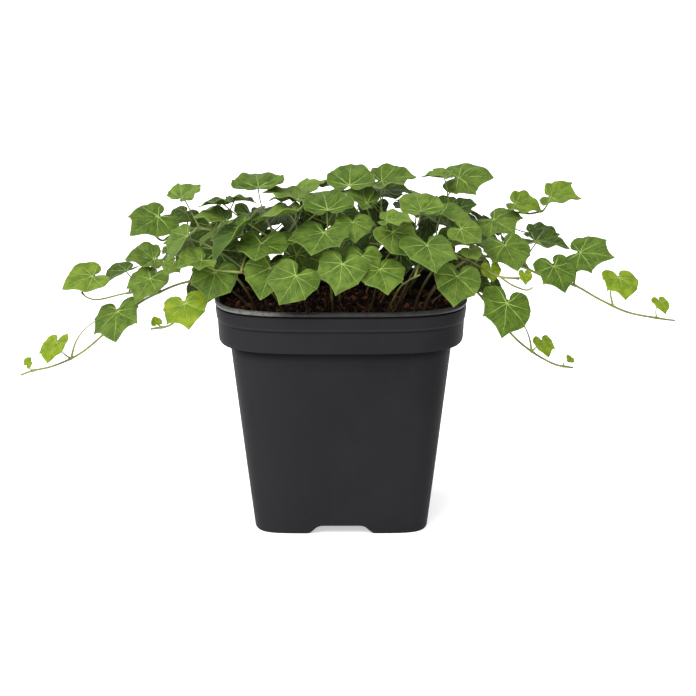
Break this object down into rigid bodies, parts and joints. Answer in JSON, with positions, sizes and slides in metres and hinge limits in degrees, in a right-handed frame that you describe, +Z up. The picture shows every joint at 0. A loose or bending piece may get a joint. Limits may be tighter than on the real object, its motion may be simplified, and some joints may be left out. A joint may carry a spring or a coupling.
{
  "type": "potted english ivy",
  "caption": "Trailing english ivy with lobed leaves and long runners, growing in a square tapered plastic nursery pot filled with potting mix.",
  "frame": {"origin": "middle of the pot's base, on the surface it stands on", "axes": "+Z up, +X along the row of runners to the viewer's right, the pictured side faces -Y"},
  "size_m": [0.4006, 0.174, 0.2193],
  "materials": {
    "pot_plastic": "charcoal injection-moulded plastic, satin, fine texture, paler where the lip catches the light",
    "potting_mix": "moist dark red-brown bark and peat crumbs with a few pale grains",
    "ivy": "soft satin leaf, mid green with pale palmate veins, yellow-green on young leaves, olive-brown stems"
  },
  "bodies": {
    "root": {"pot": "pot_plastic", "soil": "potting_mix", "vine_back_left": "ivy", "vine_back_middle": "ivy", "vine_back_right": "ivy", "vine_crown_11": "ivy", "vine_crown_12": "ivy", "vine_crown_13": "ivy", "vine_crown_14": "ivy", "vine_crown_15": "ivy", "vine_crown_16": "ivy", "vine_crown_17": "ivy", "vine_crown_18": "ivy", "vine_crown_19": "ivy", "vine_crown_20": "ivy", "vine_crown_21": "ivy", "vine_crown_22": "ivy", "vine_crown_23": "ivy", "vine_crown_24": "ivy", "vine_crown_25": "ivy", "vine_left_front": "ivy", "vine_left_low": "ivy", "vine_left_upper": "ivy", "vine_right": "ivy", "vine_right_low": "ivy", "vine_right_shoot": "ivy", "vine_right_upper": "ivy"}
  },
  "joints": []
}
